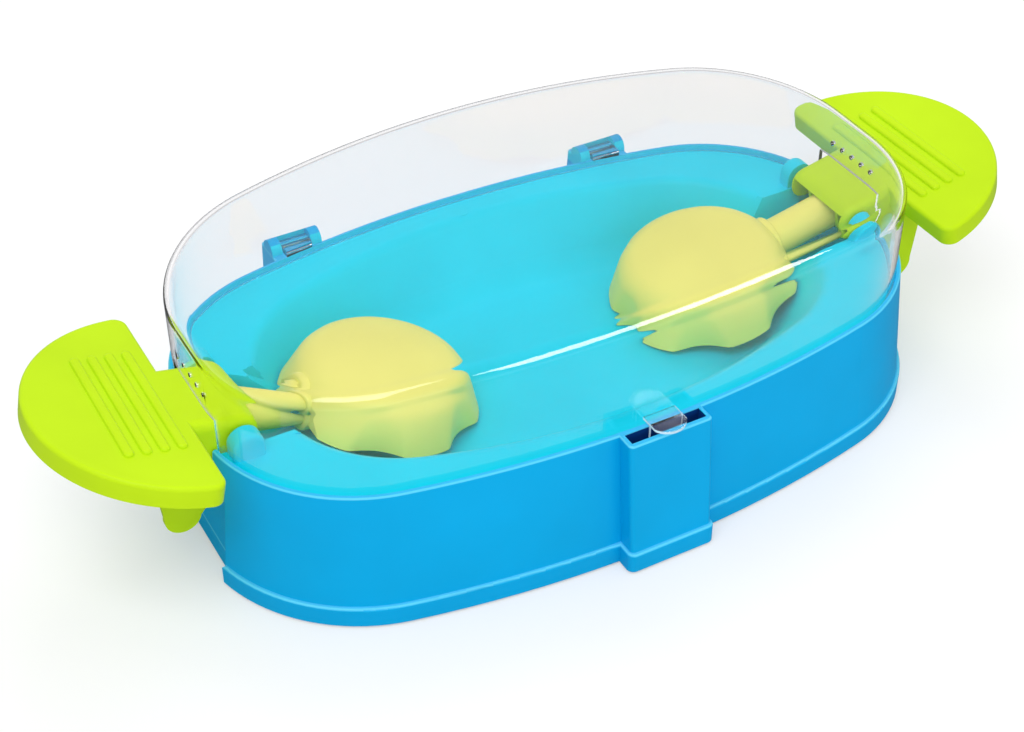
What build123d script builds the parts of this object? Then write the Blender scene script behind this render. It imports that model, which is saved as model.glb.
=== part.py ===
from build123d import *
import os
from math import atan2, cos, radians, sin, sqrt, tan

# Dog puzzle toy: a hollow oval base holds a dished treat tray under a hinged clear cover.
# A seesaw lever at each end has a paddle outside the cover and a paw inside it.
# Pressing a paddle lifts its paw off the tray, and the heavier paw brings the lever back.
# Millimetres; X runs along the toy, -Y faces the front latch, +Z is up.
# The origin lies on the floor under the middle of the toy.

# Oval plan of the base: half length, half width, bow of the long walls, corner radius
half_length = 150.0
half_width = 84.0
side_radius = 466.0
corner_radius = 64.0
base_plan = (half_length, half_width, side_radius, corner_radius)
# Shortest half of a flat end that an oval keeps between its corner arcs
end_flat = 1.0

# Base shell
rim_height = 58.7
ground_gap = 1.0
shell_wall = 2.4
lip_wall = 1.6
rim_round = 0.6
wall_draft = 4.5
lip_depth = 2.5
plinth_reach = 6.0
plinth_height = 8.5
plinth_side_step = 1.2
plinth_round = 1.2
end_bay_half = 27.5
end_bay_depth = 5.0
end_notch_drop = 12.7
end_cut_reach = 12.0
block_root = 10.5
ledge_rib_height = 3.0
ledge_rib_reach = 2.6
ledge_rib_gap_half = 30.0

# Front latch pocket
pocket_half = 17.75
pocket_reach = 7.5
pocket_round = 1.8
slot_half = 16.0
slot_wall = 1.9
slot_width = 5.4
slot_depth = 12.0

# Cover hinge at the back
hinge_end_gap = 77.0
hinge_inset = 0.9
hinge_lift = 0.6
hinge_half = 11.0
hinge_cheek = 4.5
hinge_back_wall = 1.5
hinge_pin_radius = 1.2
hinge_lug_radius = 2.6
hinge_lug_gap = 0.4
hinge_lug_length = 12.0
hinge_well_front = 5.0
hinge_pin_end_gap = 0.5

# Clear cover
cover_wall = 2.0
cover_gap = 0.4
cover_seat_gap = 0.2
cover_rise = 47.2
cover_crown = 8.3
cover_round = 7.0
cover_lift_gap = 0.4
cutout_half = 20.0
cutout_rise = 13.3
scent_hole_radius = 1.2
scent_hole_pitch = 6.4
scent_hole_rise = 19.8
scent_hole_count = 5
tongue_half = 6.8
tongue_wall = 1.1
tongue_rise = 2.2
tongue_drop = 8.0
thumb_flange = 2.6
thumb_lip_reach = 4.2

# Treat tray
tray_wall = 2.4
tray_gap = 0.15
basin_end_margin = 30.0
basin_side_margin = 14.5
basin_side_radius = 250.0
basin_corner_radius = 55.0
basin_slope = 20.0
basin_floor_round = 16.0
basin_rim_round = 6.0
trough_half = 20.0
trough_floor_half = 14.0
trough_drop = 24.9
trough_length = 66.0
post_radius = 4.0
post_pilot_depth = 12.0
end_post_inset = 25.0
end_post_side_gap = 42.0
side_post_inset = 9.8

# Bottom plate, feet and screws
plate_wall = 2.4
foot_radius = 8.0
foot_round = 1.0
foot_end_gap = 46.0
foot_side_gap = 37.0
screw_radius = 1.4
screw_head_radius = 2.8
screw_head_height = 1.8
screw_gap = 0.1

# Lever pivot and bearing blocks
pivot_inset = 13.0
pivot_rise = 1.8
rest_tilt = 12.0
press_travel = 10.0
pin_radius = 2.0
pin_end_gap = 0.3
run_gap = 0.05
bearing_radius = 6.0
bearing_width = 7.0
bearing_edge_gap = 0.7
bearing_end_wall = 1.5
bearing_round = 1.8
bearing_screw_offset = 4.1
bearing_screw_radius = 1.1
bearing_screw_head_radius = 1.8
bearing_screw_reach = 4.0

# Paddle, measured from the pivot along and across the lever
paddle_top = 7.3
chord_reach = 19.6
plate_radius = 54.0
plate_height = 8.5
plate_skin = 2.4
plate_skirt = 2.2
plate_corner_round = 5.0
plate_edge_round = 1.6
grip_rib_starts = (7.7, 14.2, 20.7, 27.2)
grip_rib_half = 30.5
grip_rib_width = 3.8
grip_rib_height = 1.3
grip_rib_round = 1.2
hood_half = 19.0
hood_wall = 2.6
hood_round = 4.0
hood_overlap = 10.0
tab_inner = 4.0
tab_inner_drop = 18.0
tab_outer = 37.5
tab_drop = 34.0
tab_tip_radius = 7.0
tab_tip_reach = 19.5
stop_gap = 0.4
cradle_rib = 2.2
cradle_rib_start = -3.0
web_start = 4.7
web_wall = 2.8
web_drop = 11.0

# Paw arm
arm_radius = 8.0
arm_bore_radius = 5.6
arm_drop = 4.2
arm_back = 4.5
arm_solid_end = -4.0
arm_reach = 50.0
arm_gap = 0.05
arm_screw_drop = 8.2
arm_screw_radius = 1.3
arm_screw_length = 8.0

# Paw
paw_reach = 65.5
paw_radius = 40.0
paw_top_radius = 33.0
paw_top = 13.0
paw_crown = 6.0
paw_edge_round = 9.0
paw_neck_reach = 31.0
flute_angles = (63.0, 124.0, 180.0)
flute_depth = 5.0
flute_radius = 10.0
flute_lean = 22.0
lobe_round = 2.5
collar_round = 1.0
paw_sole_drop = 8.0
paw_wall = 2.4
paw_rest_gap = 0.3
collar_radius = 10.4
collar_start = 30.0
collar_end_wall = 3.0
sole_wall = 2.4
sole_gap = 0.15
boss_radius = 3.4
boss_reaches = (64.0, 88.0)

# Every cut runs this far past the face that it opens
overrun = 5.0

# Heights and places that follow from the values above
plinth_top = ground_gap + plinth_height
hinge_x = half_length - hinge_end_gap
pivot_x = half_length - pivot_inset
pivot_height = rim_height + pivot_rise
end_notch_bottom = rim_height - end_notch_drop
cutout_top = rim_height + cutout_rise
scent_hole_height = rim_height + scent_hole_rise
trough_floor = pivot_height - trough_drop
trough_inner_x = half_length - trough_length
basin_length = half_length - basin_end_margin
basin_width = half_width - basin_side_margin
basin_plan = (basin_length, basin_width, basin_side_radius, basin_corner_radius)
end_post_x = half_length - end_post_inset
end_post_y = half_width - end_post_side_gap
side_post_y = half_width - side_post_inset
foot_x = half_length - foot_end_gap
foot_y = half_width - foot_side_gap
step_under = plinth_top - shell_wall
ledge_top = rim_height - lip_depth
ledge_under = ledge_top - tray_wall
cover_inset = lip_wall + cover_gap
cover_bottom = ledge_top + cover_seat_gap
cover_top = rim_height + cover_rise
crown_radius = (half_length ** 2 + cover_crown ** 2) / (2 * cover_crown)
front_reach = half_width + pocket_reach
hinge_y = half_width - hinge_inset
hinge_z = rim_height + hinge_lift
hinge_well_back = hinge_y + hinge_lug_radius + hinge_lug_gap
hinge_radius = hinge_lug_radius + hinge_lug_gap + hinge_back_wall
ear_bottom = rim_height + cover_lift_gap
plate_under = step_under - plate_wall
slot_front = front_reach - slot_wall
slot_back = slot_front - slot_width
bay_rise = (rim_height - end_notch_bottom - shell_wall) / (rim_height - plinth_top)
trough_end = half_length + wall_draft * bay_rise - end_bay_depth - shell_wall - tray_gap
bearing_inner = trough_half + bearing_edge_gap
bearing_middle = bearing_inner + bearing_width / 2
pin_half = bearing_inner + bearing_width - bearing_end_wall - pin_end_gap
hood_inner_half = hood_half - hood_wall
hood_inner_top = paddle_top - hood_wall
plate_bottom = paddle_top - plate_height
paw_tip = paw_reach + paw_radius
lean_rise = tan(radians(flute_lean))
tilt = radians(rest_tilt)
basin_floor = pivot_height - paw_tip * sin(tilt) - paw_sole_drop * cos(tilt) - paw_rest_gap
dome_radius = (paw_radius ** 2 + paw_crown ** 2) / (2 * paw_crown)
paw_hollow_radius = paw_radius - flute_depth - sole_wall * lean_rise - paw_wall
SIDES = (-1, 1)


def oval(plan, grow=0.0):
    """Face of bowed sides, corner arcs and flat ends, grown outwards by grow."""
    length, width, side, corner = plan
    roomiest = (side ** 2 - length ** 2 - (side - width + end_flat) ** 2) / (2 * (side - length))
    corner = min(corner, roomiest)
    corner_x = length - corner
    rise = sqrt((side - corner) ** 2 - corner_x ** 2)
    corner_y = rise - (side - width)
    turn = atan2(rise, corner_x)
    radius = corner + grow
    end = (length + grow, corner_y)
    middle = (corner_x + radius * cos(turn / 2), corner_y + radius * sin(turn / 2))
    tangent = (corner_x + radius * cos(turn), corner_y + radius * sin(turn))
    edges = []
    for sx in SIDES:
        edges.append(Line((sx * end[0], -end[1]), (sx * end[0], end[1])))
        for sy in SIDES:
            edges.append(ThreePointArc(*[(sx * x, sy * y) for x, y in (end, middle, tangent)]))
    for sy in SIDES:
        edges.append(ThreePointArc((tangent[0], sy * tangent[1]), (0, sy * (width + grow)),
                                   (-tangent[0], sy * tangent[1])))
    return make_face(edges)


def prism(face, bottom, top):
    """Face raised straight up between two heights."""
    return extrude(Pos(0, 0, bottom) * face, top - bottom, dir=(0, 0, 1))


def block(x, y, z):
    """Box between three pairs of limits."""
    middle = Pos((x[0] + x[1]) / 2, (y[0] + y[1]) / 2, (z[0] + z[1]) / 2)
    return middle * Box(abs(x[1] - x[0]), abs(y[1] - y[0]), abs(z[1] - z[0]))


def rod_x(radius, start, end, y, z):
    """Round rod along X."""
    return Pos((start + end) / 2, y, z) * Rot(0, 90, 0) * Cylinder(radius, abs(end - start))


def rod_y(radius, start, end, x, z):
    """Round rod along Y."""
    return Pos(x, (start + end) / 2, z) * Rot(90, 0, 0) * Cylinder(radius, abs(end - start))


def rod_z(radius, start, end, x, y):
    """Round rod along Z."""
    return Pos(x, y, (start + end) / 2) * Cylinder(radius, abs(end - start))


def join(shapes):
    """One solid from pieces that touch or overlap."""
    whole = shapes[0]
    for shape in shapes[1:]:
        whole = whole + shape
    return whole


def prism_between(low_face, bottom, high_face, top):
    """Straight-sided solid between two flat outlines at two heights."""
    return loft([Pos(0, 0, bottom) * low_face, Pos(0, 0, top) * high_face], ruled=True)


def spread(height):
    """How far the drafted wall stands outside the rim's outline at a height."""
    return wall_draft * (rim_height - height) / (rim_height - plinth_top)


def drafted_oval(grow, bottom, top):
    """Solid of the base's outline that narrows towards the rim."""
    low_face = oval(base_plan, grow + spread(bottom))
    return prism_between(low_face, bottom, oval(base_plan, grow + spread(top)), top)


def wall_block(half, side, low_grow, high_grow, bottom, top, radius):
    """Block that stands out from the front or back wall; each grow is along X, then along Y."""
    faces = []
    for z, (x_grow, y_grow) in ((bottom, low_grow), (top, high_grow)):
        depth = block_root + pocket_reach + y_grow
        middle = side * (front_reach + y_grow - depth / 2)
        faces.append(Pos(0, middle, z) * RectangleRounded(2 * (half + x_grow), depth, radius))
    return loft(faces, ruled=True)


def wall_blocks(low_grow, high_grow, bottom, top, radius):
    """Front latch pocket and the two hinge columns, grown alike."""
    blocks = [wall_block(pocket_half, -1, low_grow, high_grow, bottom, top, radius)]
    for sx in SIDES:
        column = wall_block(hinge_half, 1, low_grow, high_grow, bottom, top, radius)
        blocks.append(Pos(sx * hinge_x, 0, 0) * column)
    return blocks


def bay_plane(height):
    """How far out an end bay's wall stands at a height."""
    return half_length + spread(height) - end_bay_depth


def end_bays(grow, top):
    """Recesses in the two end walls where the levers' tabs hang, as deep below as above."""
    reach = half_length + plinth_reach + overrun
    bays = []
    for sx in SIDES:
        faces = []
        for z in (-overrun, top):
            near = bay_plane(z) - grow
            place = Pos(sx * (near + reach) / 2, 0, z)
            faces.append(place * Rectangle(reach - near, 2 * (end_bay_half + grow)))
        bays.append(loft(faces, ruled=True))
    return bays


def hinge_cheeks(middle):
    """Round-topped hood on a hinge column, open to the front between two cheeks."""
    x = (middle - hinge_half, middle + hinge_half)
    gap = (middle - hinge_half + hinge_cheek, middle + hinge_half - hinge_cheek)
    hood = rod_x(hinge_radius, x[0], x[1], hinge_y, hinge_z)
    hood = hood + block(x, (hinge_y - hinge_radius, hinge_y + hinge_radius), (ledge_top, hinge_z))
    well = (hinge_y - hinge_well_front, hinge_well_back)
    return hood - block(gap, well, (rim_height, hinge_z + hinge_radius + overrun))


def base_shell():
    """Drafted outer wall with its plinth, latch pocket, hinge columns and end notches."""
    low, high = ground_gap, rim_height
    foot = plinth_reach
    step = (plinth_side_step, foot)
    plinth = join([prism(oval(base_plan, foot), low, plinth_top)]
                  + wall_blocks(step, step, low, plinth_top, pocket_round + plinth_side_step))
    for bay in end_bays(0.0, end_notch_bottom):
        plinth = plinth - bay
    plinth = fillet(plinth.faces().sort_by(Axis.Z)[-1].edges(), plinth_round)
    edge = high - rim_round
    top_edge = prism_between(oval(base_plan, spread(edge)), edge, oval(base_plan, -rim_round), high)
    wall = drafted_oval(0.0, low, edge) + top_edge
    for bay in end_bays(0.0, end_notch_bottom):
        wall = wall - bay
    edge_grow = (0.0, spread(edge))
    walls = [wall] + wall_blocks((0.0, spread(low)), edge_grow, low, edge, pocket_round)
    walls = walls + wall_blocks(edge_grow, (-rim_round, -rim_round), edge, high, pocket_round)
    shell = join([plinth] + walls)
    for sx in SIDES:
        shell = shell + hinge_cheeks(sx * hinge_x)
    hollow = prism(oval(base_plan, plinth_reach - shell_wall), low - overrun, step_under)
    hollow = hollow + drafted_oval(-shell_wall, low - overrun, high + overrun)
    for bay in end_bays(shell_wall, end_notch_bottom + shell_wall):
        hollow = hollow - bay
    shell = shell - hollow
    rib = drafted_oval(-shell_wall, ledge_under - ledge_rib_height, ledge_under)
    rib = rib - prism(oval(base_plan, -shell_wall - ledge_rib_reach), low, high)
    rib = rib - block((-half_length, half_length), (-ledge_rib_gap_half, ledge_rib_gap_half), (low, high))
    shell = shell + rib - prism(oval(base_plan, -lip_wall), ledge_top, high + overrun)
    for sx in SIDES:
        x = (sx * (half_length - end_cut_reach), sx * (half_length + overrun))
        shell = shell - block(x, (-trough_half, trough_half), (end_notch_bottom, high + overrun))
        gap = hinge_half - hinge_cheek
        well_x = (sx * hinge_x - gap, sx * hinge_x + gap)
        well_y = (hinge_y - hinge_lug_radius - hinge_lug_gap, hinge_well_back)
        well_bottom = hinge_z - hinge_lug_radius - hinge_lug_gap
        shell = shell - block(well_x, well_y, (well_bottom, high + overrun))
        half = hinge_half - hinge_pin_end_gap
        shell = shell - rod_x(hinge_pin_radius + run_gap, sx * hinge_x - half, sx * hinge_x + half,
                              hinge_y, hinge_z)
    slot = block((-slot_half, slot_half), (-slot_front, -slot_back), (high - slot_depth, high + overrun))
    return shell - slot


def basin(grow, top, floor):
    """Sloping oval bowl with a round floor edge, wider at the ledge than at its floor."""
    fall = ledge_top - floor
    flare = basin_slope * (top - ledge_top) / fall
    mouth = Pos(0, 0, top) * oval(basin_plan, grow + flare)
    bottom = Pos(0, 0, floor) * oval(basin_plan, grow - basin_slope)
    bowl = loft([mouth, bottom], ruled=True)
    return fillet(bowl.faces().sort_by(Axis.Z)[0].edges(), basin_floor_round + grow)


def screw_posts():
    """Places of the six posts that hold the bottom plate."""
    places = [(sx * end_post_x, sy * end_post_y) for sx in SIDES for sy in SIDES]
    return places + [(0, sy * side_post_y) for sy in SIDES]


def bearing_places():
    """Places of the four bearing blocks, with a name for each."""
    names = {(-1, -1): "left_front", (-1, 1): "left_back", (1, -1): "right_front", (1, 1): "right_back"}
    return [(names[sx, sy], sx * pivot_x, sy * bearing_middle) for sx in SIDES for sy in SIDES]


def trough(side, grow, bottom, top):
    """Arm trough from the basin to one end, wider at the ledge than at its floor."""
    x = (trough_inner_x, trough_end - tray_wall + grow)
    faces = []
    for z in (bottom, top):
        share = (z - trough_floor) / (ledge_top - trough_floor)
        half = trough_floor_half + (trough_half - trough_floor_half) * share + grow
        faces.append(Pos(side * (x[0] + x[1]) / 2, 0, z) * Rectangle(x[1] - x[0], 2 * half))
    return loft(faces, ruled=True)


def treat_tray():
    """Ledge, dished basin and an arm trough at each end, on six screw posts."""
    ledge = prism(oval(base_plan, -shell_wall - tray_gap), ledge_under, ledge_top)
    hollow = basin(0.0, ledge_top + overrun, basin_floor)
    dish = ledge + basin(tray_wall, ledge_top, basin_floor - tray_wall) - hollow
    rim = dish.faces().filter_by(Axis.Z).sort_by(Axis.Z)[-1].inner_wires()[0]
    body = [fillet(rim.edges(), basin_rim_round)]
    for sx in SIDES:
        body.append(trough(sx, tray_wall, trough_floor - tray_wall, ledge_top) - hollow)
    for x, y in screw_posts():
        body.append(rod_z(post_radius, step_under, ledge_top, x, y))
    tray = join(body) & prism(oval(base_plan, -shell_wall - tray_gap), ground_gap, ledge_top)
    for sx in SIDES:
        tray = tray - trough(sx, 0.0, trough_floor, ledge_top + overrun)
        notch_x = (sx * (trough_end - tray_wall - overrun), sx * (half_length + overrun))
        tray = tray - block(notch_x, (-trough_half, trough_half), (end_notch_bottom, ledge_top + overrun))
    for x, y in screw_posts():
        tray = tray - rod_z(screw_radius + run_gap, step_under - overrun, step_under + post_pilot_depth, x, y)
    for name, x, y in bearing_places():
        for dx in SIDES:
            hole_x = x + dx * bearing_screw_offset
            tray = tray - rod_z(bearing_screw_radius + screw_gap, ledge_under - overrun, ledge_top + overrun,
                                hole_x, y)
    return tray


def bottom_plate():
    """Flat plate that closes the underside inside the plinth."""
    grow = plinth_reach - shell_wall - tray_gap
    plate = prism(oval(base_plan, grow), plate_under, step_under)
    for bay in end_bays(shell_wall + tray_gap, end_notch_bottom):
        plate = plate - bay
    for x, y in screw_posts():
        plate = plate - rod_z(screw_radius + screw_gap, plate_under - overrun, step_under + overrun, x, y)
    return plate


def rubber_feet():
    """Four round feet under the bottom plate."""
    feet = []
    for sx in SIDES:
        for sy in SIDES:
            foot = rod_z(foot_radius, 0, plate_under, sx * foot_x, sy * foot_y)
            feet.append(fillet(foot.edges().sort_by(Axis.Z)[0], foot_round))
    return Compound(children=feet)


def screw_up(radius, head_radius, seat, tip, x, y):
    """Pan-head screw that points up, with its head under the seat."""
    return rod_z(radius, seat, tip, x, y) + rod_z(head_radius, seat - screw_head_height, seat, x, y)


def bottom_screws():
    """Six screws through the bottom plate into the tray's posts."""
    tip = step_under + post_pilot_depth - screw_gap
    screws = []
    for x, y in screw_posts():
        screws.append(screw_up(screw_radius, screw_head_radius, plate_under, tip, x, y))
    return Compound(children=screws)


def bearing(x, y):
    """Round-topped block with a blind bore for one end of a pivot pin."""
    y_limits = (y - bearing_width / 2, y + bearing_width / 2)
    body = block((x - bearing_radius, x + bearing_radius), y_limits, (ledge_top, pivot_height))
    crown = rod_y(bearing_radius, y_limits[0], y_limits[1], x, pivot_height)
    under = block((x - bearing_radius, x + bearing_radius), y_limits, (ledge_top - overrun, ledge_top))
    body = body + (crown - under)
    outer = body.faces().sort_by(Axis.Y)[0 if y < 0 else -1]
    body = fillet(outer.edges().filter_by(lambda edge: edge.center().Z > pivot_height), bearing_round)
    reach = pin_half + pin_end_gap
    bore = (-reach, 0) if y < 0 else (0, reach)
    body = body - rod_y(pin_radius + run_gap, bore[0], bore[1], x, pivot_height)
    for dx in SIDES:
        hole_x = x + dx * bearing_screw_offset
        hole_top = ledge_top + bearing_screw_reach + screw_gap
        body = body - rod_z(bearing_screw_radius + run_gap, ledge_top - overrun, hole_top, hole_x, y)
    return body


def bearing_screws():
    """Two screws up through the ledge into each bearing block."""
    screws = []
    for name, x, y in bearing_places():
        for dx in SIDES:
            screws.append(screw_up(bearing_screw_radius, bearing_screw_head_radius, ledge_under,
                                   ledge_top + bearing_screw_reach, x + dx * bearing_screw_offset, y))
    return Compound(children=screws)


def hinge_pin(side):
    """Pin across one hinge hood, through the cover lug between its cheeks."""
    half = hinge_half - hinge_pin_end_gap
    return rod_x(hinge_pin_radius, side * hinge_x - half, side * hinge_x + half, hinge_y, hinge_z)


def cover_skin(inset, drop, radius):
    """Solid of the cover's outline with a crowned top and a round top edge."""
    top = cover_top - drop
    body = prism(oval(base_plan, -inset), cover_bottom, cover_top + overrun)
    crown = crown_radius - drop
    roller = rod_y(crown, -half_length, half_length, 0, top - crown)
    body = body & roller
    edges = body.faces().sort_by(Axis.Z)[-1].edges()
    return fillet(edges, radius)


def clear_cover():
    """Domed cover with arm cut-outs, scent holes, hinge ears and a latch tongue."""
    outer = cover_skin(cover_inset, 0.0, cover_round)
    inner = cover_skin(cover_inset + cover_wall, cover_wall, cover_round - cover_wall)
    mouth = oval(base_plan, -cover_inset - cover_wall)
    hollow = inner + prism(mouth, cover_bottom - overrun, rim_height + overrun)
    extras = [outer]
    lug_half = hinge_half - hinge_cheek - hinge_lug_gap
    for sx in SIDES:
        x = (sx * hinge_x - lug_half, sx * hinge_x + lug_half)
        arm_y = (hinge_y - hinge_lug_length, hinge_y)
        extras.append(block(x, arm_y, (ear_bottom, hinge_z + hinge_lug_radius)))
        extras.append(rod_x(hinge_lug_radius, x[0], x[1], hinge_y, hinge_z))
    tongue_x = (-tongue_half, tongue_half)
    tongue_middle = (slot_front + slot_back) / 2
    tongue_y = (-tongue_middle - tongue_wall / 2, -tongue_middle + tongue_wall / 2)
    flange_z = (rim_height + tongue_rise, rim_height + tongue_rise + tongue_wall)
    flange_front = tongue_y[0] - thumb_flange
    extras.append(block(tongue_x, (flange_front, -half_width + cover_inset + cover_wall), flange_z))
    extras.append(block(tongue_x, tongue_y, (rim_height - tongue_drop, flange_z[1])))
    lip_arc = ThreePointArc((-tongue_half, flange_front), (0, flange_front - thumb_lip_reach),
                            (tongue_half, flange_front))
    lip_chord = Line((tongue_half, flange_front), (-tongue_half, flange_front))
    extras.append(prism(make_face([lip_arc, lip_chord]), flange_z[0], flange_z[1]))
    cover = join(extras) - hollow
    for sx in SIDES:
        end_x = (sx * (half_length - end_cut_reach), sx * (half_length + overrun))
        cover = cover - block(end_x, (-cutout_half, cutout_half), (cover_bottom - overrun, cutout_top))
        for hole in range(scent_hole_count):
            y = (hole - (scent_hole_count - 1) / 2) * scent_hole_pitch
            cover = cover - rod_x(scent_hole_radius, end_x[0], end_x[1], y, scent_hole_height)
        half = lug_half + overrun
        cover = cover - rod_x(hinge_pin_radius + run_gap, sx * hinge_x - half, sx * hinge_x + half,
                              hinge_y, hinge_z)
    return cover


def lever_profile(points):
    """Face in the lever's side view, from points along and across it."""
    return Plane.XZ * make_face(Polyline(*points, close=True))


def side_plate(face, start, end):
    """Side-view face given its thickness along Y."""
    plate = extrude(face, abs(end - start), dir=(0, 1, 0))
    return Pos(0, min(start, end), 0) * plate


def half_disc(radius, corner):
    """Half disc beyond the chord, with its two corners rounded."""
    disc = Pos(chord_reach, 0) * Circle(radius)
    keep = Pos(chord_reach + radius / 2, 0) * Rectangle(radius, 2 * radius)
    face = disc & keep
    return fillet(face.vertices().sort_by(Axis.X)[:2], corner)


def paddle():
    """Half-disc press plate, hollow arm and hanging tabs, in the lever's own frame."""
    plate = prism(half_disc(plate_radius, plate_corner_round), plate_bottom, paddle_top)
    plate = fillet(plate.faces().sort_by(Axis.Z)[-1].edges(), plate_edge_round)
    inside = Pos(plate_skirt, 0, 0) * half_disc(plate_radius - 2 * plate_skirt, plate_corner_round)
    plate = plate - prism(inside, plate_bottom - overrun, paddle_top - plate_skin)
    hood_end = chord_reach + hood_overlap
    hood = block((0, hood_end), (-hood_half, hood_half), (-paddle_top, paddle_top))
    hood = hood + rod_y(paddle_top, -hood_half, hood_half, 0, 0)
    long_edges = hood.edges().filter_by(Axis.X).group_by(Axis.Z)[-1]
    hood = fillet(long_edges, hood_round)
    tab_points = [(tab_inner, 0), (tab_outer, 0), (tab_tip_reach + tab_tip_radius, -tab_drop),
                  (tab_tip_reach - tab_tip_radius, -tab_drop), (tab_inner, -tab_inner_drop)]
    tab = side_plate(lever_profile(tab_points), -hood_half, hood_half)
    tab = tab + rod_y(tab_tip_radius, -hood_half, hood_half, tab_tip_reach, -tab_drop)
    press = rest_tilt - press_travel
    stop_top = end_notch_bottom + 2 * stop_gap
    faces = []
    for z in (0, stop_top):
        stop_x = bay_plane(z) + stop_gap
        faces.append(Pos(stop_x / 2, 0, z) * Rectangle(stop_x, 2 * plate_radius))
    keep_out = Pos(-pivot_x, 0, -pivot_height) * loft(faces, ruled=True)
    tab = tab - Rot(0, press, 0) * keep_out
    channel = block((-plate_radius, plate_radius), (-hood_inner_half, hood_inner_half),
                    (-plate_radius, hood_inner_top))
    body = hood + tab - channel + plate
    cradle_x = (cradle_rib_start, web_start + web_wall)
    inner_top = hood_inner_top + hood_wall / 2
    for sy in SIDES:
        start = sy * (arm_radius + 2 * arm_gap)
        body = body + block(cradle_x, (start, start + sy * cradle_rib), (-paddle_top, inner_top))
    web_y = (-hood_inner_half - hood_wall / 2, hood_inner_half + hood_wall / 2)
    body = body + block((web_start, web_start + web_wall), web_y, (-web_drop, inner_top))
    for start in grip_rib_starts:
        outline = Pos(chord_reach + start, 0) * SlotOverall(2 * grip_rib_half, grip_rib_width, rotation=90)
        rib = prism(outline, paddle_top - plate_skin / 2, paddle_top + grip_rib_height)
        body = body + fillet(rib.faces().sort_by(Axis.Z)[-1].edges(), grip_rib_round)
    body = body - rod_y(pin_radius + run_gap, -plate_radius, plate_radius, 0, 0)
    return body - rod_x(arm_screw_radius + screw_gap, web_start - overrun, web_start + web_wall + overrun,
                        0, -arm_screw_drop)


def arm():
    """Round arm from the pivot to the paw, hollow but for its pivot end."""
    body = rod_x(arm_radius, -arm_reach, arm_back, 0, -arm_drop)
    body = body - rod_x(arm_bore_radius, -arm_reach - overrun, arm_solid_end, 0, -arm_drop)
    body = body - rod_y(pin_radius + run_gap, -arm_radius - overrun, arm_radius + overrun, 0, 0)
    screw_tip = web_start - arm_screw_length
    return body - rod_x(arm_screw_radius + run_gap, screw_tip, arm_back + overrun, 0, -arm_screw_drop)


def arm_screw():
    """Screw along the arm that holds it to the paddle's web."""
    seat = web_start + web_wall
    shank = rod_x(arm_screw_radius, web_start - arm_screw_length + screw_gap, seat, 0, -arm_screw_drop)
    return shank + rod_x(2 * arm_screw_radius, seat, seat + screw_head_height, 0, -arm_screw_drop)


def paw_cavity_face(gap):
    """Round outline inside the paw's fluted wall."""
    return Pos(-paw_reach, 0) * Circle(paw_hollow_radius - gap)


def bun(low, high, bottom, top, ball_radius, edge_round):
    """Round body that narrows upwards, with a crowned top and a wide round at its top edge."""
    body = Pos(-paw_reach, 0, (bottom + top) / 2) * Cone(low, high, top - bottom)
    body = body & (Pos(-paw_reach, 0, top - ball_radius) * Sphere(ball_radius))
    return fillet(body.faces().sort_by(Axis.Z)[-1].edges(), edge_round)


def flutes():
    """Leaning rods that cut a groove between two lobes, up to the paw's shoulder."""
    reach = paw_radius - flute_depth + flute_radius / cos(radians(flute_lean))
    length = 2 * (paw_top + paw_sole_drop + overrun)
    turns = sorted({sy * angle % 360 for angle in flute_angles for sy in SIDES})
    rods = []
    for turn in turns:
        place = Pos(-paw_reach, 0, -paw_sole_drop) * Rot(0, 0, turn) * Pos(reach, 0, 0)
        rods.append(place * Rot(0, -flute_lean, 0) * Cylinder(flute_radius, length))
    return rods


def boss_places():
    """Places of the two screw bosses inside the paw."""
    return [(-reach, 0) for reach in boss_reaches]


def collar(radius):
    """Round socket body about the end of the arm."""
    return rod_x(radius, -arm_reach - collar_end_wall, -collar_start, 0, -arm_drop)


def paw():
    """Bun-shaped shell with six lobes between its flutes and a socket for the arm."""
    body = bun(paw_radius, paw_top_radius, -paw_sole_drop, paw_top, dome_radius, paw_edge_round)
    whole = body
    rods = flutes()
    for rod in rods:
        body = body - rod
    seams = new_edges(whole, *rods, combined=body)
    body = fillet([seam for seam in seams if seam.center().Z > lobe_round - paw_sole_drop], lobe_round)
    neck_x = (-paw_neck_reach, 0)
    body = body - block(neck_x, (-paw_radius, paw_radius), (-paw_sole_drop - overrun, paw_top + overrun))
    sole_top = -paw_sole_drop + sole_wall
    ceiling = paw_top - paw_wall
    inside = bun(paw_hollow_radius, paw_hollow_radius - (ceiling - sole_top) * lean_rise, sole_top, ceiling,
                 dome_radius - paw_wall, paw_edge_round - paw_wall)
    cavity = inside + rod_z(paw_hollow_radius, -paw_sole_drop - overrun, sole_top, -paw_reach, 0)
    ball = Pos(-paw_reach, 0, paw_top - dome_radius) * Sphere(dome_radius)
    body = body - cavity
    for x, y in boss_places():
        post = rod_z(boss_radius, sole_top, paw_top, x, y) & ball
        body = body + post
    neck = collar(collar_radius)
    body = body + fillet(neck.edges().sort_by(Axis.X)[-1], collar_round)
    body = body - rod_x(arm_radius + arm_gap, -arm_reach, -collar_start + overrun, 0, -arm_drop)
    for x, y in boss_places():
        hole_top = sole_top + bearing_screw_reach
        body = body - rod_z(bearing_screw_radius + run_gap, sole_top - overrun, hole_top, x, y)
    return body


def paw_sole():
    """Flat plate that closes the paw, cut round the socket."""
    plate = prism(paw_cavity_face(sole_gap), -paw_sole_drop, -paw_sole_drop + sole_wall)
    plate = plate - collar(collar_radius + sole_gap)
    for x, y in boss_places():
        plate = plate - rod_z(bearing_screw_radius + screw_gap, -paw_sole_drop - overrun, 0, x, y)
        plate = plate - rod_z(bearing_screw_head_radius + screw_gap, -paw_sole_drop - overrun,
                              -paw_sole_drop + sole_wall / 2, x, y)
    return plate


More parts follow.
